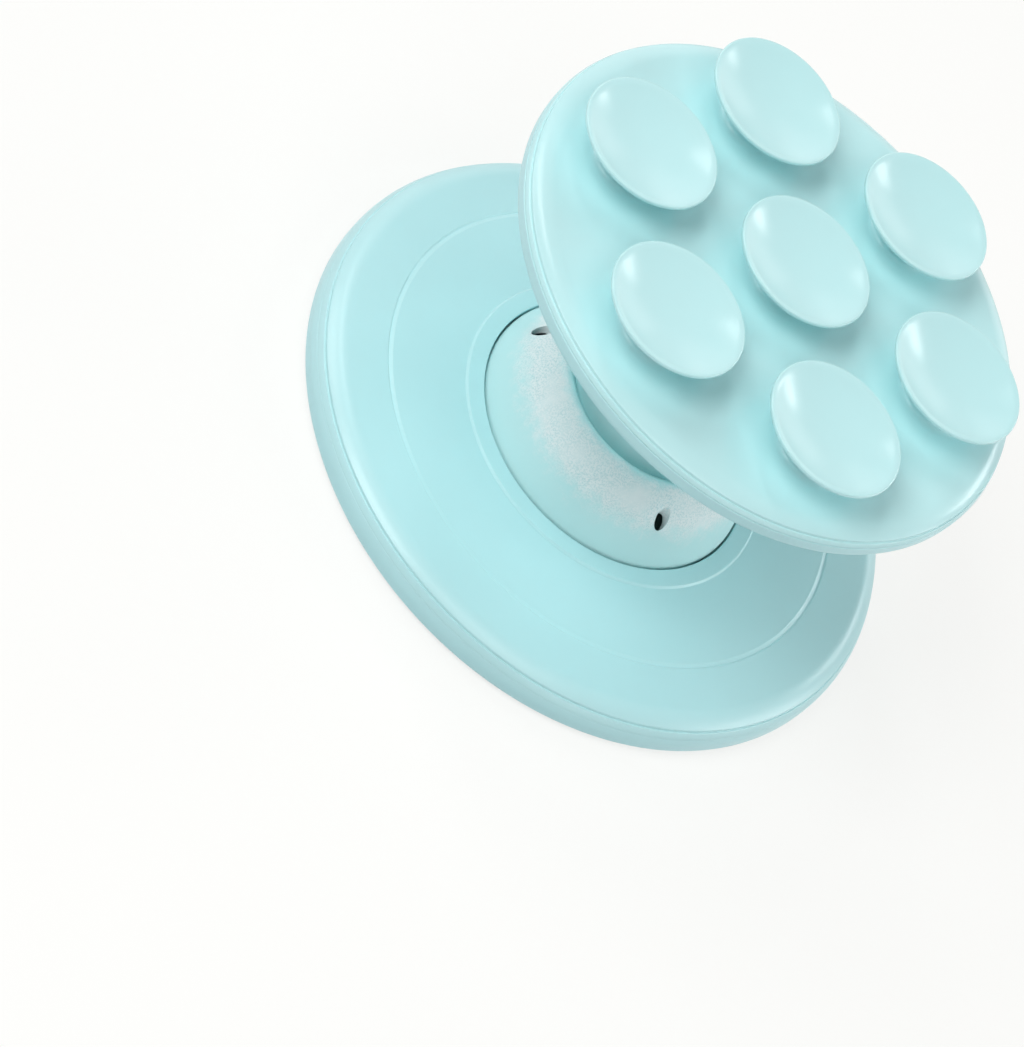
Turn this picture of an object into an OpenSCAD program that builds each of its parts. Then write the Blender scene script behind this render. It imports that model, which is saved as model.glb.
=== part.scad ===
// Collapsible phone grip with a magnetic base and a suction cup button.
// Millimetres. Z runs up the axis, z = 0 is the face that lies on the phone,
// and one outer suction cup lies on +X.

/* [Base] */
// Outer diameter of the round base
base_d = 58; // [52:0.5:70]
// Thickness of the soft pad that lies on the phone
pad_t = 0.6; // [0.5:0.1:1.2]
// How far the soft pad stands out below the plate
pad_proud = 0.3; // [0.1:0.05:0.4]
// Margin between the soft pad and the base's edge
pad_margin = 2.6; // [2:0.1:6]
// Thickness of the plate's floor under the magnets
floor_t = 0.5; // [0.4:0.1:1]
// Thickness of the cover over the magnets
cover_t = 1.4; // [1.3:0.1:2.5]
// Rounding of the plate's lower edge
edge_r = 0.9; // [0.4:0.1:1.2]
// Height of the plate's side wall, up to the parting line
plate_wall_h = 2.05; // [1.9:0.05:2.2]
// Width of the cover's rounded shoulder
shoulder_w = 1.9; // [1.2:0.1:2.5]
// How far the shoulder drops from the flat top to its crease
shoulder_drop = 1.04; // [0.8:0.04:1.2]
// Height of the fine step in which the cover's and the pad's shoulders end
step_h = 0.28; // [0.16:0.04:0.32]
// Width of the ledge under that step
step_w = 0.15; // [0.1:0.05:0.3]
// How far the barrel-shaped side wall leans in from its widest part to the crease
crease_lean = 0.5; // [0.2:0.05:0.6]
// Distance of the fine ring groove in the top from the base's edge
groove_margin = 6.38; // [4:0.1:9]
// Width of the ring groove
groove_w = 0.5; // [0.3:0.1:1]
// Depth of the ring groove
groove_depth = 0.12; // [0.05:0.01:0.4]
// Height of the rim by which the plate is welded into the cover
spigot_h = 0.65; // [0.3:0.05:0.8]
// Thickness of the cover's skirt outside that rim
skirt_t = 1; // [0.8:0.1:1.2]
// Number of stiffening ribs on the plate's floor
rib_count = 8; // [4:1:16]
// Thickness of a stiffening rib
rib_t = 0.8; // [0.6:0.1:1.2]

/* [Magnets] */
// Distance of the magnet ring from the base's edge
magnet_margin = 2; // [1.8:0.1:3]
// Width of the magnet ring
magnet_w = 4; // [2:0.1:4.4]
// Thickness of a magnet
magnet_t = 1; // [0.8:0.1:1.5]
// Number of magnets in the ring
magnet_count = 16; // [12:2:24]
// Gap between neighbouring magnets
magnet_gap = 0.3; // [0.1:0.05:1]
// Thickness of the steel ring behind the magnets
shield_t = 0.5; // [0.3:0.1:0.8]

/* [Collar and foot] */
// Diameter of the hole in the cover that the bellows comes out of
collar_bore = 26.8; // [24:0.2:28]
// Width of the raised collar round that hole
collar_w = 1.63; // [1:0.1:2.5]
// Height of the collar above the flat top
collar_proud = 0.22; // [0.1:0.02:0.6]
// How far the collar's outer edge slopes out
collar_slope = 0.15; // [0.05:0.05:0.4]
// Gap between the collar and the bellows
collar_gap = 0.2; // [0.15:0.05:0.4]
// Thickness of the cover's lip over the bellows' foot
lip_t = 1.1; // [0.8:0.1:1.3]
// How far that lip reaches over the foot
lip_w = 2.6; // [2:0.1:3.2]
// Running clearance round the foot ring
spin_clear = 0.06; // [0.03:0.01:0.1]
// Thickness of the wall that the foot ring turns in
bearing_t = 1; // [0.8:0.1:1.5]
// Width of the foot ring's outer lip
foot_lip_t = 0.64; // [0.4:0.04:1]
// Thickness of the bellows' foot flange
foot_t = 0.8; // [0.6:0.05:1]
// Thickness of the bellows' lip inside the foot ring
foot_hook_t = 0.6; // [0.4:0.1:1]

/* [Bellows] */
// Wall thickness of the bellows
bellows_t = 0.7; // [0.5:0.05:0.9]
// Height of the lowest tier above the collar
tier1_h = 7.05; // [5:0.25:9]
// Height of the middle tier
tier2_h = 8; // [5:0.25:10]
// Height of the top tier
tier3_h = 10.38; // [6:0.25:11]
// Diameter of the fold at the top of the lowest tier
fold1_d = 18.2; // [17:0.2:21]
// Diameter of the fold at the top of the middle tier
fold2_d = 14.2; // [13.6:0.2:15]
// Diameter of the bellows under the button
neck_d = 12; // [11.6:0.2:12.6]
// How far each fold steps in
fold_in = 1.2; // [0.6:0.05:1.3]
// How far each fold dips
fold_drop = 1.3; // [0.4:0.05:1.4]
// Outward bulge of the lowest tier
bulge1 = 0.63; // [0.2:0.05:1]
// Outward bulge of the upper two tiers
bulge2 = 0.35; // [0.1:0.05:0.6]
// Diameter of a vent hole
vent_d = 1.3; // [0.9:0.05:1.6]
// Height of the vent holes above the foot of the lowest tier
vent_h = 4.4; // [3:0.2:5]
// Number of vent holes
vent_count = 3; // [2:1:6]

/* [Button] */
// Diameter of the button
button_d = 48.7; // [46:0.5:60]
// Thickness of the button's rigid plate
plate_t = 1.4; // [1.4:0.05:2.5]
// Rounding of the plate's lower edge
plate_edge_r = 1.1; // [0.6:0.1:1.2]
// Depth of the recess under the plate for the folded tiers
stow_depth = 0.5; // [0.2:0.05:0.6]
// Thickness of the adhesive disc
glue_t = 0.15; // [0.1:0.05:0.3]
// Margin between the adhesive disc and the button's edge
glue_margin = 1.6; // [1:0.1:3]
// Diameter of the spigot that carries the bellows
spigot_d = 6.3; // [5.8:0.1:7]
// Thickness of the bellows' top flange
top_flange_t = 0.8; // [0.6:0.1:1]
// Diameter of the plug's head
plug_d = 10; // [9:0.1:10]
// Thickness of the plug's head
plug_t = 0.8; // [0.6:0.1:1.2]
// Diameter of the plug's stem
stem_d = 5; // [4:0.1:5.2]

/* [Suction pad] */
// Height of the pad's side wall
pad_wall_h = 0.45; // [0.3:0.05:1]
// How far the pad's side wall leans in
pad_lean = 0.2; // [0.05:0.05:0.4]
// Rise of the pad's soft shoulder
soft_rise = 0.8; // [0.4:0.04:1]
// Width of the pad's soft shoulder
soft_w = 2; // [1.5:0.1:2.4]
// Rise of the pad's face from the shoulder to the centre
face_rise = 0.3; // [0.1:0.05:0.5]
// Diameter of a suction cup's rim
cup_d = 12.66; // [10:0.2:14]
// Radius of the circle that the outer cups stand on
cup_pitch_r = 16.21; // [15:0.1:16.5]
// Number of outer cups
cup_count = 6; // [4:1:6]
// Height of the cup rims above the pad's shoulder
cup_h = 3.73; // [3:0.1:5]
// Diameter of a cup's neck
cup_neck_d = 6.4; // [5:0.1:7]
// Fillet between a cup's neck and the pad
cup_fillet = 0.7; // [0.4:0.05:1.2]
// Thickness of a cup's lip
cup_lip_t = 0.4; // [0.3:0.05:0.6]
// Width of the flat edge of the lip
cup_rim_w = 0.25; // [0.2:0.05:0.5]
// Depth of a cup's hollow
cup_depth = 1.5; // [0.6:0.1:1.6]

/* [Hidden] */

$fn = 96;
mint = "#bfeef0";
soft_mint = "#ccf3f4";
inner_white = "#eef1f0";
steel = "#b9bdc1";
nickel = "#cfd2d4";

// How far the bellows' lip stays above the bottom of the foot ring
hook_lift = 0.2;
// Steps of an arc that rounds a corner, and of a tier's curve
fold_steps = 5;
tier_steps = 10;
// Steps of a shoulder's, a hollow's or a bell's curve
curve_steps = 8;
// Slip between faces that seat on each other
sit = 0.05;
// Rounding that breaks a moulded edge
soft = 0.1;
// Bends, in degrees, at which the base's and the pad's shoulders meet their walls
base_bend = 40;
pad_bend = 40;
// Straight rise between the plate's rounded edge and its widest place
widest_rise = 0.2;
// Inset of the stiffening ribs from the wall inside them, and from their rim
rib_inset = 0.3;
rib_step = 0.2;
// Room round the neck and outside the sleeve in the recess for the folded tiers
stow_neck_room = 0.9;
stow_sleeve_room = 0.4;
// Material left over the plug's stem
stem_roof = 0.4;
// Clearance of the plug's stem in the spigot
stem_clear = 0.02;
// How far a cup's root reaches into the pad, and how far its lip is rounded
cup_root = 0.3;
lip_round = 0.12;
// Exponent of the trumpet-shaped bell under a cup
bell_power = 1.7;
// Length of the drill for a vent hole
vent_drill = 5;

plate_z = pad_proud;
floor_z = pad_t + floor_t;
under_z = floor_z + magnet_t + shield_t;
base_top = under_z + cover_t;
part_z = plate_z + plate_wall_h;
widest_z = plate_z + edge_r + widest_rise;
crease_z = base_top - shoulder_drop;
base_r = base_d / 2;
flat_r = base_r - crease_lean - shoulder_w;
spigot_out = base_r - skirt_t - sit;
pad_r = base_r - pad_margin;
groove_r = base_r - groove_margin;
magnet_out = base_r - magnet_margin;
magnet_in = magnet_out - magnet_w;
channel_out = magnet_out + 2 * sit;
channel_in = magnet_in - 2 * sit;
rib_ring_in = channel_in - rib_t;
rib_top = under_z - 2 * sit;

bore_r = collar_bore / 2;
collar_r = bore_r + collar_w;
collar_top = base_top + collar_proud;
lip_z = base_top - lip_t;
bearing_r = bore_r + lip_w;
bearing_out = bearing_r + bearing_t;
foot_out = bearing_r - spin_clear;
flange_out = foot_out - foot_lip_t;
flange_top = lip_z - spin_clear;
flange_z = flange_top - foot_t;
foot_z = floor_z + spin_clear;
sleeve_r = bore_r - collar_gap;
hook_out = sleeve_r - bellows_t - foot_hook_t;
hook_in = hook_out - foot_hook_t;
hook_z = foot_z + hook_lift;

ridge1_z = collar_top + tier1_h;
valley1_z = ridge1_z - fold_drop;
ridge2_z = valley1_z + tier2_h;
valley2_z = ridge2_z - fold_drop;
button_z = valley2_z + tier3_h;
valley1_r = fold1_d / 2 - fold_in;
valley2_r = fold2_d / 2 - fold_in;
neck_r = neck_d / 2;
flange_under = button_z - top_flange_t;

button_r = button_d / 2;
plate_top = button_z + plate_t;
glue_r = button_r - glue_margin;
glue_z = plate_top - glue_t;
spigot_r = spigot_d / 2;
stem_r = stem_d / 2;
stem_top = glue_z - stem_roof;
stow_in = neck_r + stow_neck_room;
stow_out = sleeve_r + stow_sleeve_room;
soft_crease_z = plate_top + pad_wall_h;
shoulder_z = soft_crease_z + soft_rise;
face_z = shoulder_z + face_rise;
soft_crease_r = button_r - pad_lean;
face_r = soft_crease_r - soft_w;
rim_z = shoulder_z + cup_h;
cup_r = cup_d / 2;
cup_neck_r = cup_neck_d / 2;
cup_hollow_r = cup_r - cup_rim_w;

function magnet_name(i) = str("magnet_", i < 10 ? "0" : "", i);

// A point of an outline is [radius, height, rounding].
function flat(p) = [p[0], p[1]];
function unit(v) = v / norm(v);
function left_of(v) = [-v[1], v[0]];

// Points of the arc that rounds the corner b between a and c. The rounding is
// kept within 0.45 of the shorter side, so that neighbouring arcs never meet.
function corner(a, b, c) =
    let (u = unit(flat(a) - flat(b)), v = unit(flat(c) - flat(b)),
         half = acos(max(-1, min(1, u * v))) / 2,
         room = 0.45 * min(norm(flat(a) - flat(b)), norm(flat(c) - flat(b))),
         cut = half > 89 ? 0 : min(b[2] / tan(half), room),
         r = cut * tan(half))
    cut < 0.01 ? [flat(b)] :
    let (centre = flat(b) + unit(u + v) * r / sin(half),
         from = flat(b) + u * cut - centre, to = flat(b) + v * cut - centre,
         sweep = 180 - 2 * half,
         side = from[0] * to[1] - from[1] * to[0] > 0 ? 1 : -1)
    [for (i = [0:fold_steps])
        let (t = side * sweep * i / fold_steps)
        centre + [from[0] * cos(t) - from[1] * sin(t), from[0] * sin(t) + from[1] * cos(t)]];

// A closed outline with its corners rounded.
function rounded(p) =
    [for (i = [0:len(p) - 1])
        each corner(p[(i + len(p) - 1) % len(p)], p[i], p[(i + 1) % len(p)])];

// An open path with its inner corners rounded.
function rounded_path(p) =
    [for (i = [0:len(p) - 1])
        each (i == 0 || i == len(p) - 1) ? [flat(p[i])] : corner(p[i - 1], p[i], p[i + 1])];

// An open path moved sideways by w to the left of its own direction, with
// mitred corners. Roundings grow on the outside of a turn and shrink inside it.
function beside(p, w) =
    [for (i = [0:len(p) - 1])
        let (d0 = i == 0 ? unit(flat(p[1]) - flat(p[0])) : unit(flat(p[i]) - flat(p[i - 1])),
             d1 = i == len(p) - 1 ? d0 : unit(flat(p[i + 1]) - flat(p[i])),
             n = unit(left_of(d0) + left_of(d1)),
             turn = d0[0] * d1[1] - d0[1] * d1[0])
        concat(flat(p[i]) + n * w / (n * left_of(d1)), [max(0, p[i][2] - sign(turn) * w)])];

function backwards(p) = [for (i = [len(p) - 1:-1:0]) p[i]];

// A point of a tier, which is a parabola from foot to ridge that bulges out.
function tier_point(foot, ridge, bulge, t) =
    foot + t * (ridge - foot) - left_of(unit(ridge - foot)) * bulge * 4 * t * (1 - t);

// One tier. Its last stretch is straight, which leaves room for the fold.
function tier(foot, ridge, bulge) =
    [for (i = [1:tier_steps - 2]) concat(tier_point(foot, ridge, bulge, i / tier_steps), [0])];

// The barrel-shaped side wall of the base: how far it leans in at height z is a
// parabola that starts where the lower edge's rounding ends.
function wall_r(z) = base_r - crease_lean * pow(max(0, z - widest_z) / (crease_z - widest_z), 2);
function wall(z0, z1, steps = 4) =
    [for (i = [1:steps - 1]) let (z = z0 + (z1 - z0) * i / steps) [wall_r(z), z, 0]];

// A shoulder that leaves the flat face level and bends down to the top of its step.
// A steep riser and a ledge lead from there to the crease, where the wall begins.
function shoulder(r0, z0, w, drop, bend) =
    concat(
        [for (i = [0:curve_steps])
            let (a = bend * i / curve_steps)
            [r0 + (w - step_w) * sin(a) / sin(bend),
             z0 - (drop - step_h) * (1 - cos(a)) / (1 - cos(bend)), 0]],
        [[r0 + w - step_w, z0 - drop, 0], [r0 + w, z0 - drop, 0]]);

module turned(p) { rotate_extrude() polygon(rounded(p)); }

module base_cover() {
    color(mint) turned(concat(
        [[bore_r, lip_z, 0], [bore_r, collar_top, soft], [collar_r, collar_top, soft],
         [collar_r + collar_slope, base_top, soft],
         [groove_r - groove_w / 2, base_top, soft], [groove_r, base_top - groove_depth, soft],
         [groove_r + groove_w / 2, base_top, soft]],
        shoulder(flat_r, base_top, shoulder_w, shoulder_drop, base_bend),
        wall(crease_z, part_z),
        [[wall_r(part_z), part_z, 0],
         [spigot_out + sit, part_z, 0], [spigot_out + sit, part_z + spigot_h + sit, 0],
         [channel_out - sit, part_z + spigot_h + sit, 0], [channel_out - sit, under_z, 0],
         [bearing_out, under_z, 2 * soft], [bearing_out, floor_z, 0], [bearing_r, floor_z, 0],
         [bearing_r, lip_z, 0]]));
}

module base_plate() {
    seat_r = pad_r + sit;
    color(mint) {
        turned(concat(
            [[0, pad_t, 0], [seat_r, pad_t, 0], [seat_r, plate_z, soft],
             [base_r, plate_z, edge_r], [base_r, widest_z, 0]],
            wall(widest_z, part_z),
            [[wall_r(part_z), part_z, 0], [spigot_out, part_z, 0],
             [spigot_out, part_z + spigot_h, soft], [channel_out, part_z + spigot_h, soft],
             [channel_out, floor_z, 0], [channel_in, floor_z, 0], [channel_in, rib_top, soft],
             [rib_ring_in, rib_top, soft], [rib_ring_in, floor_z, 2 * soft], [0, floor_z, 0]]));
        for (i = [0:rib_count - 1])
            rotate(360 * i / rib_count) rib();
    }
}

// A stiffening rib from the cover's bearing wall to the rim round the magnets. It
// starts inside the floor and ends inside the rim, so that all three are one piece.
module rib() {
    translate([bearing_out + rib_inset, -rib_t / 2, pad_t + sit])
        cube([rib_ring_in - bearing_out, rib_t, rib_top - rib_step - pad_t]);
}

module phone_pad() {
    color(soft_mint)
        turned([[0, 0, 0], [pad_r, 0, 2 * soft], [pad_r, pad_t, 0], [0, pad_t, 0]]);
}

module shield_ring() {
    z = floor_z + magnet_t;
    color(steel) turned([
        [magnet_in, z, 0], [magnet_out, z, 0], [magnet_out, z + shield_t, 0],
        [magnet_in, z + shield_t, 0]]);
}

module magnet(i) {
    pitch = 360 / magnet_count;
    width = pitch - magnet_gap / magnet_out * 180 / PI;
    color(nickel)
        rotate(pitch * (i - 0.5) - width / 2)
            rotate_extrude(angle = width)
                translate([magnet_in, floor_z])
                    square([magnet_out - magnet_in, magnet_t]);
}

module foot_ring() {
    color(inner_white) turned([
        [hook_out, foot_z, soft], [foot_out, foot_z, soft], [foot_out, flange_top, soft],
        [flange_out, flange_top, 0], [flange_out, flange_z, 0], [hook_out, flange_z, 0]]);
}

// The line that the bellows' outer face follows, from the sleeve in the collar
// up over two folds to the top flange.
function bellows_path() = concat(
    [[sleeve_r, flange_z, 0], [sleeve_r, collar_top, 0]],
    tier([sleeve_r, collar_top], [fold1_d / 2, ridge1_z], bulge1),
    [[fold1_d / 2, ridge1_z, 0.6], [valley1_r, valley1_z, 0.3]],
    tier([valley1_r, valley1_z], [fold2_d / 2, ridge2_z], bulge2),
    [[fold2_d / 2, ridge2_z, 0.4], [valley2_r, valley2_z, 0.3]],
    tier([valley2_r, valley2_z], [neck_r, button_z], bulge2),
    [[neck_r, button_z, 0.5]]);

module bellows() {
    outer = bellows_path();
    inner = beside(outer, bellows_t);
    last = len(outer) - 1;
    skin = rounded_path(concat([for (i = [0:last]) outer[i]], [[spigot_r + sit, button_z, 0]]));
    lining = rounded_path(concat(
        [[inner[0][0], flange_z, 0]], [for (i = [1:last - 1]) inner[i]],
        [[neck_r - bellows_t, flange_under, 0.3], [spigot_r + sit, flange_under, 0]]));
    color(soft_mint) difference() {
        union() {
            rotate_extrude() polygon(concat(skin, backwards(lining)));
            turned([
                [hook_in, hook_z, soft], [hook_out, hook_z, soft], [hook_out, flange_z, 0],
                [flange_out, flange_z, 0], [flange_out, flange_top, soft],
                [hook_in, flange_top, 2 * soft]]);
        }
        for (i = [0:vent_count - 1])
            rotate(60 + 360 * i / vent_count) vent();
    }
}

// A vent hole through the lowest tier. It is parallel to the axis, as the pin in the
// moulding tool that leaves it is.
module vent() {
    foot = [sleeve_r, collar_top];
    ridge = [fold1_d / 2, ridge1_z];
    mouth = tier_point(foot, ridge, bulge1, vent_h / tier1_h);
    translate([mouth[0], 0, mouth[1]])
        cylinder(d = vent_d, h = vent_drill, center = true, $fn = 32);
}

module button_plate() {
    color(mint) turned([
        [stem_r, flange_under, soft], [spigot_r, flange_under, soft], [spigot_r, button_z, 0],
        [stow_in, button_z, soft], [stow_in, button_z + stow_depth, soft],
        [stow_out, button_z + stow_depth, 2 * soft], [stow_out, button_z, 2 * soft],
        [button_r, button_z, plate_edge_r], [button_r, plate_top, 0],
        [glue_r + sit, plate_top, 0], [glue_r + sit, glue_z, 0], [0, glue_z, 0],
        [0, stem_top, 0], [stem_r, stem_top, 0]]);
}

module hub_plug() {
    head_r = plug_d / 2;
    shank_r = stem_r - stem_clear;
    color(inner_white) turned([
        [0, flange_under - plug_t, 0], [head_r, flange_under - plug_t, 3 * soft],
        [head_r, flange_under, soft], [shank_r, flange_under, 0],
        [shank_r, stem_top - sit, 3 * soft], [0, stem_top - sit, 0]]);
}

module pad_adhesive() {
    color(inner_white) turned([
        [0, glue_z, 0], [glue_r, glue_z, 0], [glue_r, plate_top, 0], [0, plate_top, 0]]);
}

// The pad's face is a shallow dome: a parabola from the centre to the shoulder.
function face_at(r) = face_z - face_rise * pow(r / face_r, 2);

// A suction cup that stands at radius r. Its hollow is a shallow parabola. Below
// the lip it narrows like a trumpet into its neck, which meets the pad in a fillet.
module cup(r) {
    root_z = face_at(r) - cup_root;
    seat_z = face_at(r) - 2 * sit;
    bell_z = seat_z + cup_fillet;
    lip_z = rim_z - cup_lip_t;
    hollow = [for (i = [0:curve_steps])
        let (x = cup_hollow_r * i / curve_steps)
        [x, rim_z - cup_depth * (1 - pow(x / cup_hollow_r, 2)), 0]];
    bell = [for (i = [0:curve_steps - 1])
        let (t = i / curve_steps)
        [cup_neck_r + (cup_r - cup_neck_r) * pow(t, bell_power), bell_z + (lip_z - bell_z) * t, 0]];
    turned(concat(
        [[0, root_z, 0], [cup_neck_r + cup_fillet, root_z, 0],
         [cup_neck_r + cup_fillet, seat_z, 0], [cup_neck_r, seat_z, cup_fillet]],
        bell,
        [[cup_r, lip_z, lip_round], [cup_r, rim_z, soft]],
        backwards(hollow)));
}

module suction_pad() {
    face = [for (i = [0:curve_steps])
        let (r = face_r * i / curve_steps)
        [r, face_at(r), 0]];
    rim = [for (p = shoulder(face_r, shoulder_z, soft_w, soft_rise, pad_bend))
        if (p[0] > face_r) p];
    color(soft_mint) {
        turned(concat([[0, plate_top, 0]], face, rim, [[button_r, plate_top, 0]]));
        cup(0);
        for (i = [0:cup_count - 1])
            rotate(360 * i / cup_count) translate([cup_pitch_r, 0, 0]) cup(cup_pitch_r);
    }
}

base_cover();
base_plate();
phone_pad();
shield_ring();
for (i = [1:magnet_count]) magnet(i);
foot_ring();
bellows();
button_plate();
hub_plug();
pad_adhesive();
suction_pad();
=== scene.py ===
import math

import bmesh
import bpy
import numpy as np
from mathutils import Matrix, Quaternion, Vector
from mathutils.geometry import delaunay_2d_cdt


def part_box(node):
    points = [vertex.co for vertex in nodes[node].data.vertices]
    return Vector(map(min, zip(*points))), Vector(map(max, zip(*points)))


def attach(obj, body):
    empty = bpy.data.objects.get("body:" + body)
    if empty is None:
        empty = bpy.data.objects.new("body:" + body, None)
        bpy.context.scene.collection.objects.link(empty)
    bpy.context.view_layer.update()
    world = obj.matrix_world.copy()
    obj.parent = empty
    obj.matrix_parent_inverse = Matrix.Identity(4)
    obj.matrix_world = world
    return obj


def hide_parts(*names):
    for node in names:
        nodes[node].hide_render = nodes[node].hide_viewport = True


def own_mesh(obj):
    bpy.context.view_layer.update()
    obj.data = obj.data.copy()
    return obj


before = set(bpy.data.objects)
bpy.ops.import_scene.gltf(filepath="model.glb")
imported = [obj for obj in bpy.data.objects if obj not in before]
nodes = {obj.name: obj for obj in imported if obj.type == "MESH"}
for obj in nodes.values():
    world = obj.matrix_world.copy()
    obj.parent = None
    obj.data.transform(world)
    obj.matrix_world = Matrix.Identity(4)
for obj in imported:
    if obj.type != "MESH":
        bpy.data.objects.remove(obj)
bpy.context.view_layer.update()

# Camera. It stands in front of the grip and looks down on it at 45 degrees through a
# long lens. It is rolled, so that the grip's axis leans to the picture's upper right.
mm = 0.001
eye = Vector((-74.118, -263.452, 262.181)) * mm
aim = Vector((-8.294, -28.466, 17.0)) * mm
roll = math.radians(47.74)

camera = bpy.data.objects.new("camera", bpy.data.cameras.new("camera"))
camera.data.lens = 148.37
camera.data.clip_start, camera.data.clip_end = 0.01, 10
camera.rotation_mode = "QUATERNION"
camera.location = eye
camera.rotation_quaternion = (aim - eye).to_track_quat("-Z", "Y") @ Quaternion((0, 0, 1), roll)
bpy.context.scene.collection.objects.link(camera)
bpy.context.scene.camera = camera


# Base cover. The round top shell of the base, moulded in mint ABS: a soft shoulder that
# ends in a small step, a fine ring groove, and a raised collar round the bellows. It is
# welded to the plate below along a line in the side wall.
def box_mm(node):
    """Lowest and highest corner of a node of the frame, in millimetres."""
    low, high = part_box(node)
    return np.array(low) / mm, np.array(high) / mm


plate_low, plate_high = box_mm("base_plate")
cover_low, cover_high = box_mm("base_cover")
base_r = plate_high[0]
plate_z = plate_low[2]
floor_z = cover_low[2]
spigot_top = plate_high[2]
collar_top = cover_high[2]

slip = 0.05
edge = 0.1
plate_wall_h = 2.05
part_z = plate_z + plate_wall_h
parting_gap = 0.015
collar_proud = 0.22
collar_slope = 0.15
collar_w = 1.63
base_top = collar_top - collar_proud
bore_r = 13.4
collar_r = bore_r + collar_w
cover_lip_t = 1.1
cover_lip_w = 2.6
lip_z = base_top - cover_lip_t
bearing_t = 1
bearing_r = bore_r + cover_lip_w
bearing_out = bearing_r + bearing_t
cover_t = 1.4
under_z = base_top - cover_t
skirt_t = 1
spigot_out = base_r - skirt_t - slip
magnet_margin = 2
channel_out = base_r - magnet_margin + 2 * slip
shoulder_w = 1.9
shoulder_drop = 1.04
shoulder_bend = math.radians(40)
step_h = 0.28
step_w = 0.15
brow_round = 0.06
riser_round = 0.04
crease_lean = 0.5
crease_z = base_top - shoulder_drop
edge_r = 0.9
widest_rise = 0.2
widest_z = plate_z + edge_r + widest_rise
flat_r = base_r - crease_lean - shoulder_w
groove_margin = 6.38
groove_r = base_r - groove_margin
groove_w = 0.5
groove_depth = 0.12
groove_lean = 0.12
turn_steps = 256
guard = 0.07
long_side = 0.5
sharp_angle = math.radians(32)
mint_abs_hex = "#BDE9EC"


def rounded(corners, closed=True, arc_steps=7):
    """An outline with its corners rounded. A corner is (radius, height, rounding). Its arc
    runs about the centre that lies a rounding away from both sides: each point of the arc
    is the centre plus the first radius turned by a share of the angle between the two
    sides' normals. A long side also gets a point close to each of its ends, so that
    smooth shading stays inside the arcs."""
    c = np.array(corners, float)
    p, r = c[:, :2], c[:, 2]
    before, after = np.roll(p, 1, 0) - p, np.roll(p, -1, 0) - p
    la, lb = np.linalg.norm(before, axis=1), np.linalg.norm(after, axis=1)
    u, v = before / la[:, None], after / lb[:, None]
    half = np.arccos(np.clip((u * v).sum(1), -1, 1)) / 2
    tangent = np.tan(np.clip(half, 1e-3, math.pi / 2 - 1e-6))
    cut = np.minimum(r / tangent, 0.45 * np.minimum(la, lb))
    if not closed:
        cut[[0, -1]] = 0
    mid = (u + v) / np.maximum(np.linalg.norm(u + v, axis=1), 1e-9)[:, None]
    centre = p + mid * (cut / np.cos(half).clip(1e-6))[:, None]
    start, stop = p + u * cut[:, None] - centre, p + v * cut[:, None] - centre
    turn = np.arctan2(start[:, 0] * stop[:, 1] - start[:, 1] * stop[:, 0], (start * stop).sum(1))
    a = turn[:, None] * np.linspace(0, 1, arc_steps)
    x = start[:, :1] * np.cos(a) - start[:, 1:] * np.sin(a)
    y = start[:, :1] * np.sin(a) + start[:, 1:] * np.cos(a)
    arcs = centre[:, None] + np.stack([x, y], 2)
    lead = p + u * (cut + guard * (la > long_side))[:, None]
    trail = p + v * (cut + guard * (lb > long_side))[:, None]
    points = np.concatenate([lead[:, None], arcs, trail[:, None]], 1)
    if not closed:
        points[0, 0], points[-1, -1] = p[0], p[-1]
    points = points.reshape(-1, 2)
    apart = np.linalg.norm(points - np.roll(points, 1, 0), axis=1) > 1e-4
    return points[apart | (np.arange(len(points)) == 0)]


def mesh_of(name, points, faces):
    """An object whose points are in millimetres. Doubled points are merged, faces are
    turned outwards, and shading is smooth apart from sharp corners."""
    mesh = bpy.data.meshes.new(name)
    mesh.from_pydata(points * mm, [], faces)
    shape = bmesh.new()
    shape.from_mesh(mesh)
    bmesh.ops.remove_doubles(shape, verts=shape.verts, dist=1e-7)
    bmesh.ops.dissolve_degenerate(shape, edges=shape.edges, dist=1e-8)
    bmesh.ops.recalc_face_normals(shape, faces=shape.faces)
    shape.to_mesh(mesh)
    shape.free()
    mesh.shade_smooth()
    mesh.set_sharp_from_angle(angle=sharp_angle)
    piece = bpy.data.objects.new(name, mesh)
    bpy.context.scene.collection.objects.link(piece)
    return piece


def turned(name, profile, steps=turn_steps):
    """A turned piece. Its profile (r, z) runs round the axis: a point at angle a is
    (r cos a, r sin a, z). A profile that starts and ends on the axis is left open there."""
    a = np.arange(steps) * 2 * math.pi / steps
    r, z = profile[:, 0], profile[:, 1]
    points = np.stack([np.outer(np.cos(a), r), np.outer(np.sin(a), r),
                       np.broadcast_to(z, (steps, len(z)))], 2).reshape(-1, 3)
    on_axis = r[0] < 1e-6 and r[-1] < 1e-6
    i, j = np.meshgrid(np.arange(steps), np.arange(len(z) - on_axis), indexing="ij")
    i2, j2 = (i + 1) % steps, (j + 1) % len(z)
    quads = np.stack([i * len(z) + j, i2 * len(z) + j, i2 * len(z) + j2, i * len(z) + j2], -1)
    return mesh_of(name, points, quads.reshape(-1, 4).tolist())


def side_wall(z_from, z_to, steps=12):
    """The barrel-shaped side wall: how far it leans in at height z is a parabola that
    starts at the widest place and reaches its full lean at the crease."""
    z = np.linspace(z_from, z_to, steps)
    share = np.maximum(0, z - widest_z) / (crease_z - widest_z)
    return np.stack([base_r - crease_lean * share**2, z, 0 * z], 1)


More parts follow.
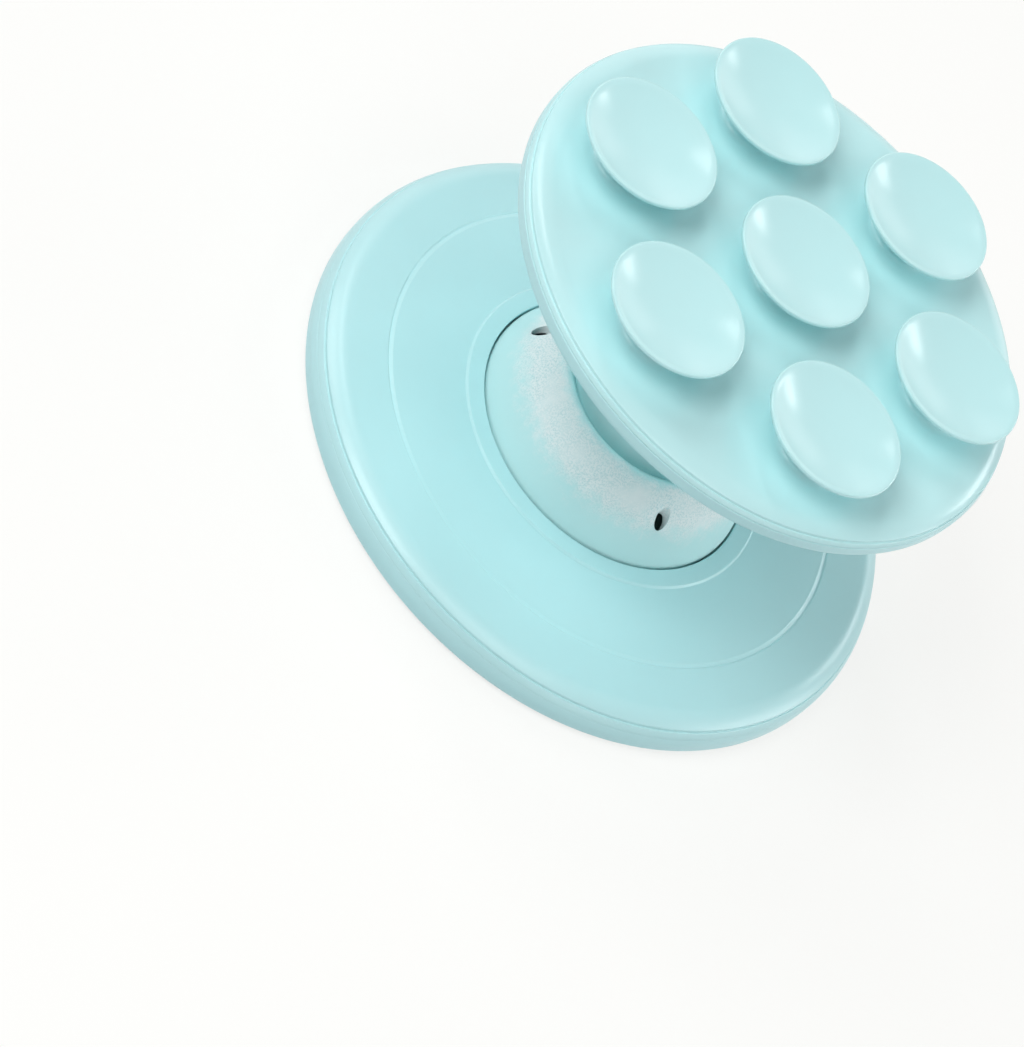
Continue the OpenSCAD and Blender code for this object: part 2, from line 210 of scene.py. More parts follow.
def shoulder(r, z, width, drop, steps=20):
    """A shoulder that leaves the flat face level: a short arc, stretched to its width and
    depth, then a steep riser and a ledge out to the crease."""
    a = np.linspace(0, shoulder_bend, steps)
    curve = np.stack([r + (width - step_w) * np.sin(a) / np.sin(a[-1]),
                      z - (drop - step_h) * (1 - np.cos(a)) / (1 - np.cos(a[-1])), 0 * a], 1)
    curve[-1, 2] = brow_round
    return np.concatenate([curve, [[r + width - step_w, z - drop, riser_round],
                                   [r + width, z - drop, edge]]])


upper_wall = side_wall(crease_z, part_z + parting_gap)
cover_profile = rounded(np.concatenate([
    [[bore_r, lip_z, 0], [bore_r, collar_top, edge], [collar_r, collar_top, edge],
     [collar_r + collar_slope, base_top, edge],
     [groove_r - groove_w / 2, base_top, edge],
     [groove_r + groove_lean, base_top - groove_depth, edge],
     [groove_r + groove_w / 2, base_top, edge]],
    shoulder(flat_r, base_top, shoulder_w, shoulder_drop), upper_wall[1:],
    [[spigot_out + slip, part_z + parting_gap, 0], [spigot_out + slip, spigot_top + slip, 0],
     [channel_out - slip, spigot_top + slip, 0], [channel_out - slip, under_z, 0],
     [bearing_out, under_z, 2 * edge], [bearing_out, floor_z, 0], [bearing_r, floor_z, 0],
     [bearing_r, lip_z, 0]]]))
cover = turned("base_cover_shell", cover_profile)


def linear(code):
    """A material colour from its sRGB hex code: each channel by the sRGB curve."""
    c = np.array([int(code[i:i + 2], 16) for i in (1, 3, 5)]) / 255
    return (*np.where(c <= 0.04045, c / 12.92, ((c + 0.055) / 1.055) ** 2.4), 1)


def add(tree, kind, settings=(), links=()):
    """Adds a node, sets its properties or sockets by name or number, and links sockets
    of other nodes to its own."""
    node = tree.nodes.new("ShaderNode" + kind)
    for key, value in dict(settings).items():
        if isinstance(key, str) and hasattr(node, key):
            setattr(node, key, value)
        else:
            node.inputs[key].default_value = value
    for key, socket in dict(links).items():
        tree.links.new(socket, node.inputs[key])
    return node


def new_material(name):
    """An empty material with an output and Object coordinates."""
    made = bpy.data.materials.new(name)
    made.use_nodes = True
    made.node_tree.nodes.clear()
    tree = made.node_tree
    return made, tree, add(tree, "OutputMaterial"), add(tree, "TexCoord").outputs["Object"]


def per_mm(size):
    """The scale of a noise or cell texture whose features are that many millimetres."""
    return 1 / (size * mm)


# ABS, injection moulded in a spark-eroded tool: an even satin with a fine grain. The
# real grain is about 0.05 mm, and is drawn at 0.22 mm so that it shows at all. The
# melt's flow leaves broad clouds of gloss and a hardly visible change of shade.
def satin_abs(name, colour):
    made, tree, output, place = new_material(name)
    grain = add(tree, "TexNoise", {"Scale": per_mm(0.22), "Detail": 2}, {"Vector": place})
    cloud = add(tree, "TexNoise", {"Scale": per_mm(7), "Detail": 3}, {"Vector": place})
    shade = add(tree, "MapRange", {"To Min": 0.975, "To Max": 1.02}, {"Value": cloud.outputs[0]})
    tone = add(tree, "Mix", {"data_type": "RGBA", "blend_type": "MULTIPLY", "Factor": 1,
                             6: linear(colour)}, {7: shade.outputs[0]})
    gloss = add(tree, "MapRange", {"To Min": 0.28, "To Max": 0.36}, {"Value": cloud.outputs[0]})
    bump = add(tree, "Bump", {"Strength": 0.1, "Distance": 0.02 * mm},
               {"Height": grain.outputs[0]})
    shader = add(tree, "BsdfPrincipled",
                 {"IOR": 1.53, "Subsurface Weight": 0.12, "Subsurface Scale": 1.2 * mm,
                  "Subsurface Radius": (0.8, 1, 1)},
                 {"Base Color": tone.outputs[2], "Roughness": gloss.outputs[0],
                  "Normal": bump.outputs[0]})
    tree.links.new(shader.outputs[0], output.inputs[0])
    return made


def finish_piece(piece, made, body, slot, *replaced):
    """Gives a piece its material and body, and hides the nodes that it stands for. The slot is not
    used.
    """
    piece.data.materials.clear()
    piece.data.materials.append(made)
    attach(piece, body)
    if replaced:
        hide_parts(*replaced)


mint_abs = satin_abs("mint_abs_satin", mint_abs_hex)
finish_piece(cover, mint_abs, "base", "mint_abs", "base_cover")


# Base plate. The lower shell of the base, of the same ABS. Its rim plugs into the
# cover's skirt, a channel holds the ring of magnets, and eight ribs stiffen its floor.
phone_pad_r, _, pad_t = box_mm("phone_pad")[1]
seat_r = phone_pad_r + slip
magnet_w = 4
channel_in = base_r - magnet_margin - magnet_w - 2 * slip
channel_rim_t = 0.8
rib_ring_in = channel_in - channel_rim_t
rib_top = under_z - 2 * slip
rib_count = 8
rib_t = 0.8
rib_bite = 0.3
rib_step = 0.2

lower_wall = side_wall(widest_z, part_z - parting_gap)
lower_wall[-1, 2] = edge
plate_profile = rounded(np.concatenate([
    [[0, pad_t, 0], [seat_r, pad_t, 0], [seat_r, plate_z, edge], [base_r, plate_z, edge_r]],
    lower_wall,
    [[spigot_out, part_z - parting_gap, 0],
     [spigot_out, spigot_top, edge], [channel_out, spigot_top, edge],
     [channel_out, floor_z, 0], [channel_in, floor_z, 0], [channel_in, rib_top, edge],
     [rib_ring_in, rib_top, edge], [rib_ring_in, floor_z, 2 * edge], [0, floor_z, 0]]]),
    closed=False)
plate = turned("base_plate_shell", plate_profile)


def apply_boolean(piece, other, operation):
    """Joins or cuts a piece with another closed mesh, which is then removed."""
    step = piece.modifiers.new(operation, "BOOLEAN")
    step.operation, step.object, step.solver = operation, other, "EXACT"
    result = piece.evaluated_get(bpy.context.evaluated_depsgraph_get())
    done = bpy.data.meshes.new_from_object(result)
    piece.modifiers.clear()
    piece.data = done
    bpy.data.objects.remove(other)
    done.shade_smooth()
    done.set_sharp_from_angle(angle=sharp_angle)


def rib_boxes():
    """Corners and faces of the ribs: one box from the cover's bearing wall to the rim round
    the magnets, turned about the axis by equal shares of a full turn."""
    x = np.array([bearing_out + rib_bite, rib_ring_in + rib_bite])
    y = np.array([-rib_t, rib_t]) / 2
    z = np.array([pad_t + slip, rib_top - rib_step + slip])
    corner = np.stack(np.meshgrid(x, y, z, indexing="ij"), -1).reshape(-1, 3)
    a = np.arange(rib_count) * 2 * math.pi / rib_count
    spin = np.stack([np.stack([np.cos(a), -np.sin(a)], 1),
                     np.stack([np.sin(a), np.cos(a)], 1)], 1)
    flat = np.einsum("kij,cj->kci", spin, corner[:, :2])
    points = np.concatenate([flat, np.broadcast_to(corner[:, 2:], (rib_count, 8, 1))], 2)
    sides = np.array([[0, 1, 3, 2], [4, 6, 7, 5], [0, 4, 5, 1], [2, 3, 7, 6], [0, 2, 6, 4],
                      [1, 5, 7, 3]])
    faces = (sides[None] + 8 * np.arange(rib_count)[:, None, None]).reshape(-1, 4)
    return points.reshape(-1, 3), faces.tolist()


apply_boolean(plate, mesh_of("ribs", *rib_boxes()), "UNION")
finish_piece(plate, mint_abs, "base", "mint_abs", "base_plate")


# Phone pad. A thin disc of soft silicone, let into the plate's underside, that grips
# the phone's glass. Its own CAD solid shows, with the silicone on it.
mint_silicone_hex = "#C4EEF0"


# Silicone rubber, compression moulded in a polished tool: smooth and softly glossy, a
# little translucent, so that thin lips glow, with a bloom of fine waves in its gloss.
def soft_silicone(name, colour):
    made, tree, output, place = new_material(name)
    waves = add(tree, "TexNoise", {"Scale": per_mm(1.6), "Detail": 2}, {"Vector": place})
    cloud = add(tree, "TexNoise", {"Scale": per_mm(9), "Detail": 2}, {"Vector": place})
    shade = add(tree, "MapRange", {"To Min": 0.985, "To Max": 1.015}, {"Value": cloud.outputs[0]})
    tone = add(tree, "Mix", {"data_type": "RGBA", "blend_type": "MULTIPLY", "Factor": 1,
                             6: linear(colour)}, {7: shade.outputs[0]})
    gloss = add(tree, "MapRange", {"To Min": 0.19, "To Max": 0.25}, {"Value": cloud.outputs[0]})
    bump = add(tree, "Bump", {"Strength": 0.15, "Distance": 0.02 * mm},
               {"Height": waves.outputs[0]})
    shader = add(tree, "BsdfPrincipled",
                 {"IOR": 1.43, "Subsurface Weight": 0.1, "Subsurface Scale": 0.6 * mm,
                  "Subsurface Radius": (0.8, 1, 1)},
                 {"Base Color": tone.outputs[2], "Roughness": gloss.outputs[0],
                  "Normal": bump.outputs[0]})
    tree.links.new(shader.outputs[0], output.inputs[0])
    return made


def dress(node, made):
    """Gives a CAD node that stays in view its material."""
    for kept in nodes[node].material_slots:
        kept.material = made
    if not nodes[node].material_slots:
        nodes[node].data.materials.append(made)


mint_silicone = soft_silicone("mint_silicone", mint_silicone_hex)
dress("phone_pad", mint_silicone)


# Magnets and shield. Sixteen nickel-plated magnets lie in the channel, and a stamped
# ring of mild steel behind them turns their field towards the phone.
def bare_metal(name, colour, roughness, brush_mm):
    made, tree, output, place = new_material(name)
    brush = add(tree, "TexNoise", {"Scale": per_mm(brush_mm), "Detail": 4}, {"Vector": place})
    rough = add(tree, "MapRange", {"To Min": roughness - 0.06, "To Max": roughness + 0.1},
                {"Value": brush.outputs[0]})
    shader = add(tree, "BsdfPrincipled", {"Base Color": linear(colour), "Metallic": 1},
                 {"Roughness": rough.outputs[0]})
    tree.links.new(shader.outputs[0], output.inputs[0])
    return made


nickel = bare_metal("nickel_plating", "#CFCBC2", 0.22, 0.8)
mild_steel = bare_metal("mild_steel_sheet", "#B4B7B9", 0.38, 0.3)
for name in nodes:
    if name.startswith("magnet_"):
        dress(name, nickel)
dress("shield_ring", mild_steel)


# Foot ring. White acetal, which is slippery by itself. It snaps into the bellows' foot
# and turns with it in the cover's bearing wall.
def natural_acetal(name, colour):
    made, tree, output, place = new_material(name)
    mottle = add(tree, "TexNoise", {"Scale": per_mm(0.6), "Detail": 2}, {"Vector": place})
    rough = add(tree, "MapRange", {"To Min": 0.36, "To Max": 0.5}, {"Value": mottle.outputs[0]})
    shader = add(tree, "BsdfPrincipled",
                 {"Base Color": linear(colour), "IOR": 1.48, "Subsurface Weight": 0.2,
                  "Subsurface Scale": 0.8 * mm}, {"Roughness": rough.outputs[0]})
    tree.links.new(shader.outputs[0], output.inputs[0])
    return made


white_acetal = natural_acetal("white_acetal", "#EEF1F0")
dress("foot_ring", white_acetal)


# Bellows. The folding neck, moulded in one piece of soft elastomer: a sleeve that comes
# out of the collar, three tiers that narrow upwards over two sharp folds, and a flange
# that the button's plug clamps. Three vents let its air out as it folds.
bellows_low, bellows_high = box_mm("bellows")
button_low, button_high = box_mm("button_plate")
button_z = bellows_high[2]
flange_under = button_low[2]
flange_out = bellows_high[0]
flange_top = box_mm("foot_ring")[1][2]
foot_t = 0.8
flange_z = flange_top - foot_t
hook_z = bellows_low[2]
bellows_t = 0.7
collar_gap = 0.2
sleeve_r = bore_r - collar_gap
hook_t = 0.6
hook_out = sleeve_r - bellows_t - hook_t
hook_in = hook_out - hook_t
seam_z = lip_z
spigot_r = 3.15
neck_r = 6
neck_round, flange_round = 0.5, 0.3
tier1_h, tier2_h = 7.05, 8
fold1_r, fold2_r = 9.1, 7.1
fold = np.array([1.2, 1.3])
ridge1_round, ridge2_round, valley_round = 0.6, 0.4, 0.3
ridge1 = np.array([fold1_r, collar_top + tier1_h])
valley1 = ridge1 - fold
ridge2 = np.array([fold2_r, valley1[1] + tier2_h])
valley2 = ridge2 - fold
bulge1 = 0.63
bulge2 = 0.35
straight_share = 0.2
tier_steps = 28
vent_r = 0.65
vent_rise = 4.4
vent_turns = np.radians([60, 180, 300])
drill_reach = 2.5
drill_steps = 48
# Where the frosted band lies: its rougher face, and the painted highlight in its colour.
frost_highlight_foot_r = (12.5, 11.1)
frost_highlight_fold_r = (8.6, 10)
frost_highlight_ragged = 1.2
mint_tpe_hex = "#C8F1F2"
# Painted highlight colours of the band: a near white and a paler mint between the painted glints.
frost_highlight_hex = "#F2FCFC"
highlight_between_glints_hex = "#CFE9EB"


def tier(foot, ridge, bulge, shares=np.linspace(0, 1 - straight_share, tier_steps)[1:]):
    """One tier: the straight line from foot to ridge plus a parabola across it that bulges
    out and is nothing at both ends. The last stretch up to the fold is left straight."""
    foot, ridge = np.array(foot), np.array(ridge)
    along = ridge - foot
    out = np.array([along[1], -along[0]]) / np.linalg.norm(along)
    t = shares[:, None]
    return np.concatenate([foot + t * along + out * bulge * 4 * t * (1 - t), 0 * t], 1)


def beside(path, width):
    """A path moved to the left of its own direction: each corner goes along the mitre by
    the width over the cosine of the half turn. A rounding grows on the outside of a turn."""
    d = np.diff(path[:, :2], axis=0)
    d /= np.linalg.norm(d, axis=1)[:, None]
    d0, d1 = np.concatenate([d[:1], d]), np.concatenate([d, d[-1:]])
    left0, left1 = d0[:, ::-1] * (-1, 1), d1[:, ::-1] * (-1, 1)
    mitre = left0 + left1
    mitre /= np.linalg.norm(mitre, axis=1)[:, None]
    turn = d0[:, 0] * d1[:, 1] - d0[:, 1] * d1[:, 0]
    r = np.where(path[:, 2] > 0, np.maximum(0, path[:, 2] - np.sign(turn) * width), 0)
    return np.column_stack([path[:, :2] + mitre * (width / (mitre * left1).sum(1))[:, None], r])


outer_line = np.concatenate([
    [[sleeve_r, seam_z, 0], [sleeve_r, collar_top, 0]],
    tier([sleeve_r, collar_top], ridge1, bulge1),
    [[*ridge1, ridge1_round], [*valley1, valley_round]],
    tier(valley1, ridge2, bulge2), [[*ridge2, ridge2_round], [*valley2, valley_round]],
    tier(valley2, [neck_r, button_z], bulge2), [[neck_r, button_z, neck_round]]])
inner_line = beside(outer_line, bellows_t)
folds = turned("bellows_folds", rounded(np.concatenate([
    outer_line, [[spigot_r + slip, button_z, 0], [spigot_r + slip, flange_under, 0],
                 [neck_r - bellows_t, flange_under, flange_round]], inner_line[-2::-1]])))
foot = turned("bellows_foot", rounded(np.array([
    [hook_in, hook_z, edge], [hook_out, hook_z, edge], [hook_out, flange_z, 0],
    [flange_out, flange_z, 0], [flange_out, flange_top, edge], [sleeve_r, flange_top, 0],
    [sleeve_r, seam_z, 0], [sleeve_r - bellows_t, seam_z, 0],
    [sleeve_r - bellows_t, flange_top, 0], [hook_in, flange_top, 2 * edge]])))


def vent_drill(turn):
    """A drill for one vent: an upright cylinder, turned round the axis, whose middle lies
    on the lowest tier's outer face."""
    share = np.array([vent_rise / tier1_h])
    place = tier([sleeve_r, collar_top], ridge1, bulge1, share)[0]
    drill = turned("vent_drill", np.array([[0, -drill_reach], [vent_r, -drill_reach],
                                           [vent_r, drill_reach], [0, drill_reach]]), drill_steps)
    drill.data.transform(Matrix.Rotation(turn, 4, "Z")
                         @ Matrix.Translation(Vector((place[0], 0, place[1])) * mm))
    return drill


for turn in vent_turns:
    apply_boolean(folds, vent_drill(turn), "DIFFERENCE")


# Thermoplastic elastomer, with the tool's polish low on the tier and a frosted band
# towards its fold, where the face is blasted rougher. The blasted grain is about 0.1 mm,
# and is drawn at 0.16 mm. The band's colour is painted whiter as a painted highlight, and
# its grain is painted as bright glints in patches, with an even painted sheen between them.
def frost_and_painted_highlight_tpe(name, colour, highlight_colour, between_glints_colour):
    made, tree, output, place = new_material(name)
    axes = add(tree, "SeparateXYZ", links={0: place})
    flat = add(tree, "CombineXYZ", links={0: axes.outputs[0], 1: axes.outputs[1]})
    radius = add(tree, "VectorMath", {"operation": "LENGTH"}, {0: flat.outputs[0]})
    ragged = add(tree, "TexNoise", {"Scale": per_mm(1.4), "Detail": 6, "Roughness": 0.75},
                 {"Vector": place})
    spread = add(tree, "MapRange", {"To Min": -frost_highlight_ragged * mm, "To Max": frost_highlight_ragged * mm},
                 {"Value": ragged.outputs[0]})
    where = add(tree, "Math", {"operation": "ADD"},
                {0: radius.outputs["Value"], 1: spread.outputs[0]})
    outside = add(tree, "MapRange", {"interpolation_type": "SMOOTHSTEP",
                                     "From Min": frost_highlight_foot_r[0] * mm,
                                     "From Max": frost_highlight_foot_r[1] * mm},
                  {"Value": where.outputs[0]})
    grain = add(tree, "TexNoise", {"Scale": per_mm(0.16), "Detail": 2, "Roughness": 0.7},
                {"Vector": place})
    glints = add(tree, "MapRange", {"From Min": 0.34, "From Max": 0.56},
                 {"Value": grain.outputs[0]})
    patches = add(tree, "TexNoise", {"Scale": per_mm(3), "Detail": 2}, {"Vector": place})
    even = add(tree, "MapRange", {"From Min": 0.42, "From Max": 0.72},
               {"Value": patches.outputs[0]})
    spark = add(tree, "Math", {"operation": "MAXIMUM"}, {0: glints.outputs[0], 1: even.outputs[0]})
    tier_only = add(tree, "MapRange", {"interpolation_type": "SMOOTHSTEP",
                                       "From Min": frost_highlight_fold_r[0] * mm,
                                       "From Max": frost_highlight_fold_r[1] * mm},
                    {"Value": where.outputs[0]})
    frost_and_highlight_band = add(tree, "Math", {"operation": "MULTIPLY"},
               {0: outside.outputs[0], 1: tier_only.outputs[0]})
    # Painted highlight: the band's colour is painted whiter, with painted bright glints where the
    # grain is high.
    painted_glints = add(tree, "Mix", {"data_type": "RGBA", 6: linear(between_glints_colour), 7: linear(highlight_colour)},
                  {"Factor": spark.outputs[0]})
    tone = add(tree, "Mix", {"data_type": "RGBA", 6: linear(colour)},
               {"Factor": frost_and_highlight_band.outputs[0], 7: painted_glints.outputs[2]})
    rough = add(tree, "MapRange", {"To Min": 0.36, "To Max": 0.62}, {"Value": frost_and_highlight_band.outputs[0]})
    depth = add(tree, "MapRange", {"To Min": 0.03, "To Max": 0.4}, {"Value": frost_and_highlight_band.outputs[0]})
    bump = add(tree, "Bump", {"Distance": 0.06 * mm},
               {"Height": grain.outputs[0], "Strength": depth.outputs[0]})
    shader = add(tree, "BsdfPrincipled",
                 {"IOR": 1.48, "Subsurface Weight": 0.25, "Subsurface Scale": 1.2 * mm,
                  "Subsurface Radius": (0.8, 1, 1)},
                 {"Base Color": tone.outputs[2], "Roughness": rough.outputs[0],
                  "Normal": bump.outputs[0]})
    tree.links.new(shader.outputs[0], output.inputs[0])
    return made


mint_tpe = frost_and_painted_highlight_tpe("mint_elastomer", mint_tpe_hex, frost_highlight_hex, highlight_between_glints_hex)
finish_piece(folds, mint_tpe, "grip", "mint_tpe", "bellows")
finish_piece(foot, mint_tpe, "grip", "mint_tpe", "bellows")
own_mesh(folds)


# Button plate. The rigid ABS disc of the button. Its lower edge is rounded, a shallow
# ring takes the folded tiers, and a spigot in its middle carries the bellows' flange.
button_r = button_high[0]
plate_top = button_high[2]
plate_edge_r = 1.1
glue_low, glue_high = box_mm("pad_adhesive")
glue_r = glue_high[0]
glue_z = glue_low[2]
stem_r = 2.5
stem_top = box_mm("hub_plug")[1][2]
stow_neck_room = 0.9
stow_in = neck_r + stow_neck_room
stow_sleeve_room = 0.4
stow_out = sleeve_r + stow_sleeve_room
stow_depth = 0.5
stow_z = button_z + stow_depth
button = turned("button_plate_disc", rounded(np.array([
    [0, stem_top + slip, 0], [stem_r, stem_top + slip, 0], [stem_r, flange_under, edge],
    [spigot_r, flange_under, edge], [spigot_r, button_z, 0],
    [stow_in, button_z, edge], [stow_in, stow_z, edge], [stow_out, stow_z, 2 * edge],
    [stow_out, button_z, 2 * edge], [button_r, button_z, plate_edge_r],
    [button_r, plate_top, edge],
    [glue_r + slip, plate_top, 0], [glue_r + slip, glue_z, 0], [0, glue_z, 0]]), closed=False))
finish_piece(button, mint_abs, "button", "mint_abs", "button_plate")
dress("hub_plug", white_acetal)


# Adhesive. A disc of double-sided foam tape, die cut, between the plate and the pad.
def foam_tape(name, colour):
    made, tree, output, place = new_material(name)
    cells = add(tree, "TexVoronoi", {"Scale": per_mm(0.4)}, {"Vector": place})
    bump = add(tree, "Bump", {"Strength": 0.3, "Distance": 0.02 * mm},
               {"Height": cells.outputs["Distance"]})
    shader = add(tree, "BsdfPrincipled", {"Base Color": linear(colour), "Roughness": 0.7},
                 {"Normal": bump.outputs[0]})
    tree.links.new(shader.outputs[0], output.inputs[0])
    return made


dress("pad_adhesive", foam_tape("foam_tape", "#E7EAE8"))


# Suction pad. One moulding of soft silicone: a disc with a rounded shoulder and a
# slightly domed face, and seven suction cups that stand on it on short necks.
rim_z = box_mm("suction_pad")[1][2]
pad_wall_h = 0.45
pad_lean = 0.2
soft_rise = 0.8
soft_w = 2
soft_crease_z = plate_top + pad_wall_h
soft_crease_r = button_r - pad_lean
shoulder_z = soft_crease_z + soft_rise
face_r = soft_crease_r - soft_w
face_rise = 0.3
cup_r = 6.33
cup_pitch_r = 16.21
cup_neck_r = 3.2
fillet = 0.7
root_r = cup_neck_r + fillet
cup_lip_t = 0.4
cup_lip_round = 0.17
cup_rim_w = 0.2
bell_power = 1.7
hollow_r = cup_r - cup_rim_w
hollow_depth = 1.5
cup_steps = 96
root_steps, bell_steps, hollow_steps = 9, 20, 26
face_step = 0.9
outer_turns = np.arange(6) * math.pi / 3
cup_centres = np.concatenate([[[0, 0]], cup_pitch_r * np.stack([np.cos(outer_turns),
                                                               np.sin(outer_turns)], 1)])


def face_height(x, y):
    """The pad's face is a shallow dome: a parabola that falls from middle to shoulder."""
    return shoulder_z + face_rise * (1 - (x**2 + y**2) / face_r**2)


def ring(steps, radius):
    a = np.arange(steps) * 2 * math.pi / steps
    return radius * np.stack([np.cos(a), np.sin(a)], 1)


def pad_face():
    """Points and triangles of the face between its edge and the cups' roots: both are rings
    of points, the space between is filled with a triangular grid of points, and the flat
    Delaunay triangulation of all of them is lifted to the dome."""
    rings = [ring(turn_steps, face_r)] + [c + ring(cup_steps, root_r) for c in cup_centres]
    n = int(face_r / face_step) + 1
    i, j = np.meshgrid(np.arange(-n, n + 1), np.arange(-n, n + 1))
    grid = np.stack([(i + j / 2) * face_step, j * face_step * math.sqrt(3) / 2], -1).reshape(-1, 2)
    apart = np.linalg.norm(grid[:, None] - cup_centres, axis=2).min(1) > root_r + face_step / 2
    grid = grid[apart & (np.linalg.norm(grid, axis=1) < face_r - face_step / 2)]
    starts = np.cumsum([0] + [len(r) for r in rings])
    edges = np.concatenate([s + np.stack([np.arange(len(r)), (np.arange(len(r)) + 1) % len(r)], 1)
                            for s, r in zip(starts, rings)])
    flat = np.concatenate(rings + [grid])
    found = delaunay_2d_cdt([Vector(p) for p in flat], edges.tolist(), [], 0, 1e-6)
    flat, faces = np.array(found[0]), np.array(found[2])
    middle = flat[faces].mean(1)
    apothem = root_r * math.cos(math.pi / cup_steps)
    kept = np.linalg.norm(middle[:, None] - cup_centres, axis=2).min(1) > apothem
    return np.column_stack([flat, face_height(*flat.T)]), faces[kept]


def cup_profile(seat):
    """A cup's outline from its root on the pad out to the lip and in to the middle of its
    hollow: a quarter round, a trumpet-shaped bell, a rounded lip, and a parabola."""
    a = np.linspace(0, math.pi / 2, root_steps)
    root = np.stack([root_r - fillet * np.sin(a), seat + fillet * (1 - np.cos(a))], 1)
    t = np.linspace(0, 1, bell_steps)[1:]
    under_lip = rim_z - cup_lip_t
    bell_z = seat + fillet
    bell = np.stack([cup_neck_r + (cup_r - cup_neck_r) * t**bell_power,
                     bell_z + (under_lip - bell_z) * t, 0 * t], 1)
    bell[-1, 2] = cup_lip_round
    x = np.linspace(1, 0, hollow_steps)
    hollow = np.stack([hollow_r * x, rim_z - hollow_depth * (1 - x**2), 0 * x], 1)
    hollow[0, 2] = cup_lip_round
    above = rounded(np.concatenate([bell, [[cup_r, rim_z, cup_lip_round]], hollow[1:]]),
                    closed=False)
    return np.concatenate([root, above]), len(root)


def cups():
    """Points and faces of all cups: each profile is turned about its own centre, and its
    root is moved up or down to the dome, fully at the pad and not at all at the neck."""
    points, faces = [], []
    for centre in cup_centres:
        profile, root_points = cup_profile(face_height(*centre))
        weight = np.zeros(len(profile))
        weight[:root_points] = np.linspace(1, 0, root_points)
        spin = ring(cup_steps, 1)
        flat = centre + spin[:, None] * profile[None, :, :1]
        lift = (face_height(*np.moveaxis(centre + spin * root_r, 1, 0)) - face_height(*centre))
        z = profile[None, :, 1] + lift[:, None] * weight
        i, j = np.meshgrid(np.arange(cup_steps), np.arange(len(profile) - 1), indexing="ij")
        i2 = (i + 1) % cup_steps
        quads = np.stack([i * len(profile) + j, i2 * len(profile) + j,
                          i2 * len(profile) + j + 1, i * len(profile) + j + 1], -1)
        faces.append(quads.reshape(-1, 4) + sum(map(len, points)))
        points.append(np.concatenate([flat, z[..., None]], 2).reshape(-1, 3))
    return np.concatenate(points), np.concatenate(faces)


def pad_underbody():
    """Points and faces of the rest of the pad: the shoulder, the side wall and the underside,
    turned about the axis down to one point in its middle."""
    profile = rounded(np.concatenate([
        shoulder(face_r, shoulder_z, soft_w, shoulder_z - soft_crease_z),
        [[button_r, plate_top, edge], [0, plate_top, 0]]]), closed=False)
    spin = ring(turn_steps, 1)
    flat = spin[:, None] * profile[None, :, :1]
    z = np.broadcast_to(profile[None, :, 1:], (turn_steps, len(profile), 1))
    i, j = np.meshgrid(np.arange(turn_steps), np.arange(len(profile) - 1), indexing="ij")
    i2 = (i + 1) % turn_steps
    quads = np.stack([i * len(profile) + j, i2 * len(profile) + j,
                      i2 * len(profile) + j + 1, i * len(profile) + j + 1], -1)
    return np.concatenate([flat, z], 2).reshape(-1, 3), quads.reshape(-1, 4)


def joined(*parts):
    """The points and faces of several parts as one list of each."""
    starts = np.cumsum([0] + [len(points) for points, _ in parts])
    faces = [(f + s).tolist() for (_, f), s in zip(parts, starts)]
    return np.concatenate([points for points, _ in parts]), sum(faces, [])


pad = mesh_of("suction_pad_moulding", *joined(pad_face(), cups(), pad_underbody()))
finish_piece(pad, mint_silicone, "button", "mint_silicone", "suction_pad")


# Floor, studio and lamps. A plain white floor that the camera sees near white and that
# keeps the grip's shadow. Far from the grip it turns as white as the room behind it. The
# light that it throws back on to the grip is greyer and cooler, as in a dim studio.
floor_size = 6
floor_drop = 0.02
floor_hex = "#FFFFFD"
bounce_hex = "#D2D9DC"
veil_near, veil_far = 0.75, 1
veil_from, veil_to = 0.2, 0.7
room_strength = 0.02

floor = mesh_of("floor", np.array([[-1, -1, 0], [1, -1, 0], [1, 1, 0], [-1, 1, 0]])
                * floor_size / 2 / mm - (0, 0, floor_drop), [(0, 1, 2, 3)])


def seen_directly(tree):
    """1 for rays from the camera, from glossy and from clear surfaces, and otherwise 0."""
    path = add(tree, "LightPath").outputs
    shiny = add(tree, "Math", {"operation": "MAXIMUM"},
                {0: path["Is Glossy Ray"], 1: path["Is Transmission Ray"]})
    return add(tree, "Math", {"operation": "MAXIMUM"},
               {0: path["Is Camera Ray"], 1: shiny.outputs[0]}).outputs[0]


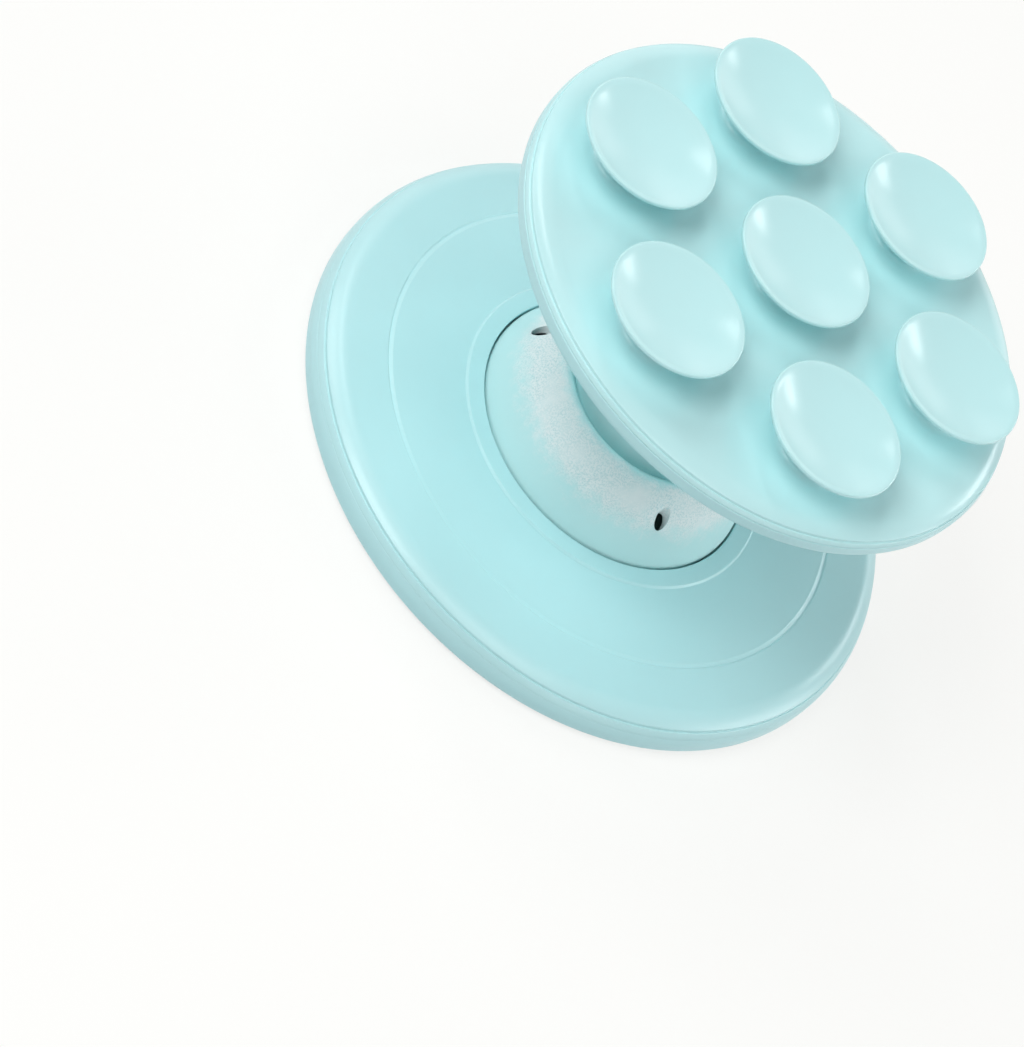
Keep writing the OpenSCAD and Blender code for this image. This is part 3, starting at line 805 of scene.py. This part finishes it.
made, tree, output, place = new_material("white_floor")
shade = add(tree, "Mix", {"data_type": "RGBA", 6: linear(bounce_hex), 7: linear(floor_hex)},
            {"Factor": seen_directly(tree)})
paint = add(tree, "BsdfDiffuse", links={"Color": shade.outputs[2]})
glow = add(tree, "Emission", {"Color": linear(floor_hex)})
away = add(tree, "VectorMath", {"operation": "LENGTH"}, {0: place})
fade = add(tree, "MapRange", {"From Min": veil_from, "From Max": veil_to, "To Min": veil_near,
                              "To Max": veil_far}, {"Value": away.outputs["Value"]})
veil = add(tree, "Math", {"operation": "MULTIPLY"}, {0: fade.outputs[0], 1: seen_directly(tree)})
mixed = add(tree, "MixShader", links={0: veil.outputs[0], 1: paint.outputs[0], 2: glow.outputs[0]})
tree.links.new(mixed.outputs[0], output.inputs[0])
floor.data.materials.append(made)

world = bpy.data.worlds.new("studio")
world.use_nodes = True
bpy.context.scene.world = world
world.node_tree.nodes.clear()
tree = world.node_tree
level = add(tree, "MapRange", {"To Min": room_strength, "To Max": 1},
            {"Value": seen_directly(tree)})
room = add(tree, "Background", {"Color": (1, 1, 1, 1)}, {"Strength": level.outputs[0]})
tree.links.new(room.outputs[0], add(tree, "OutputWorld").inputs[0])


def softbox(name, azimuth, elevation, width, height, strength, distance=0.6):
    """A lamp that faces the grip from that azimuth, measured from +X to +Y, and elevation
    in degrees. Its width, height and distance are in metres, its strength in watts."""
    lamp = bpy.data.objects.new(name, bpy.data.lights.new(name, "AREA"))
    lamp.data.shape = "RECTANGLE"
    lamp.data.size, lamp.data.size_y = width, height
    lamp.data.energy = strength
    a, e = math.radians(azimuth), math.radians(elevation)
    way = Vector((math.cos(a) * math.cos(e), math.sin(a) * math.cos(e), math.sin(e)))
    target = Vector((0, 0, 0.02))
    lamp.location = target + way * distance
    lamp.rotation_mode = "QUATERNION"
    lamp.rotation_quaternion = way.to_track_quat("Z", "Y")
    bpy.context.scene.collection.objects.link(lamp)


# The key stands at the left, the overhead box in front, and the low boxes light the side
# walls. The two strips leave the small bright spots in the cups' hollows.
softbox("key_softbox", 213, 47, 0.32, 0.32, 1.9)
softbox("left_softbox", 160, 33, 0.25, 0.25, 0.75)
softbox("overhead_softbox", 285, 58, 0.34, 0.34, 0.85)
softbox("front_softbox", 303, 9, 0.3, 0.3, 0.45)
softbox("side_softbox", 6, 14, 0.36, 0.36, 1.35)
softbox("left_rim_softbox", 108, 20, 0.4, 0.4, 0.35)
softbox("right_rim_softbox", 60, 12, 0.3, 0.3, 0.25)
softbox("high_strip", 131, 50, 0.08, 0.25, 0.42)
softbox("low_strip", 43, 26, 0.16, 0.08, 0.36)

bpy.context.scene.view_settings.view_transform = "Standard"
